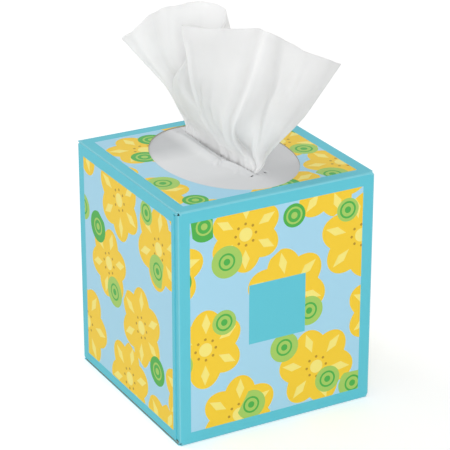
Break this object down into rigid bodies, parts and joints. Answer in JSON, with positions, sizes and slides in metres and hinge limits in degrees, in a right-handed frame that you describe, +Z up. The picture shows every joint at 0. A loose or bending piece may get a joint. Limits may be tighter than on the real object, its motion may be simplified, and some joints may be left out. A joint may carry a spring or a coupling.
{
  "type": "tissue box",
  "caption": "Upright square paperboard tissue carton with an oval opening in the top, a slit film window and a gathered tissue drawn up through the slit.",
  "frame": {"origin": "centre of the carton's base, on the surface it stands on", "axes": "+Z up, -Y towards the front wall, +X to the right seen from the front; the slit runs along Y"},
  "size_m": [0.11, 0.1159, 0.2066],
  "materials": {
    "board": "satin",
    "film": "satin",
    "tissue": "matte"
  },
  "bodies": {
    "root": {"carton": "board", "film_window": "film", "tissue_stack": "tissue", "drawn_tissue": "tissue"}
  },
  "joints": []
}
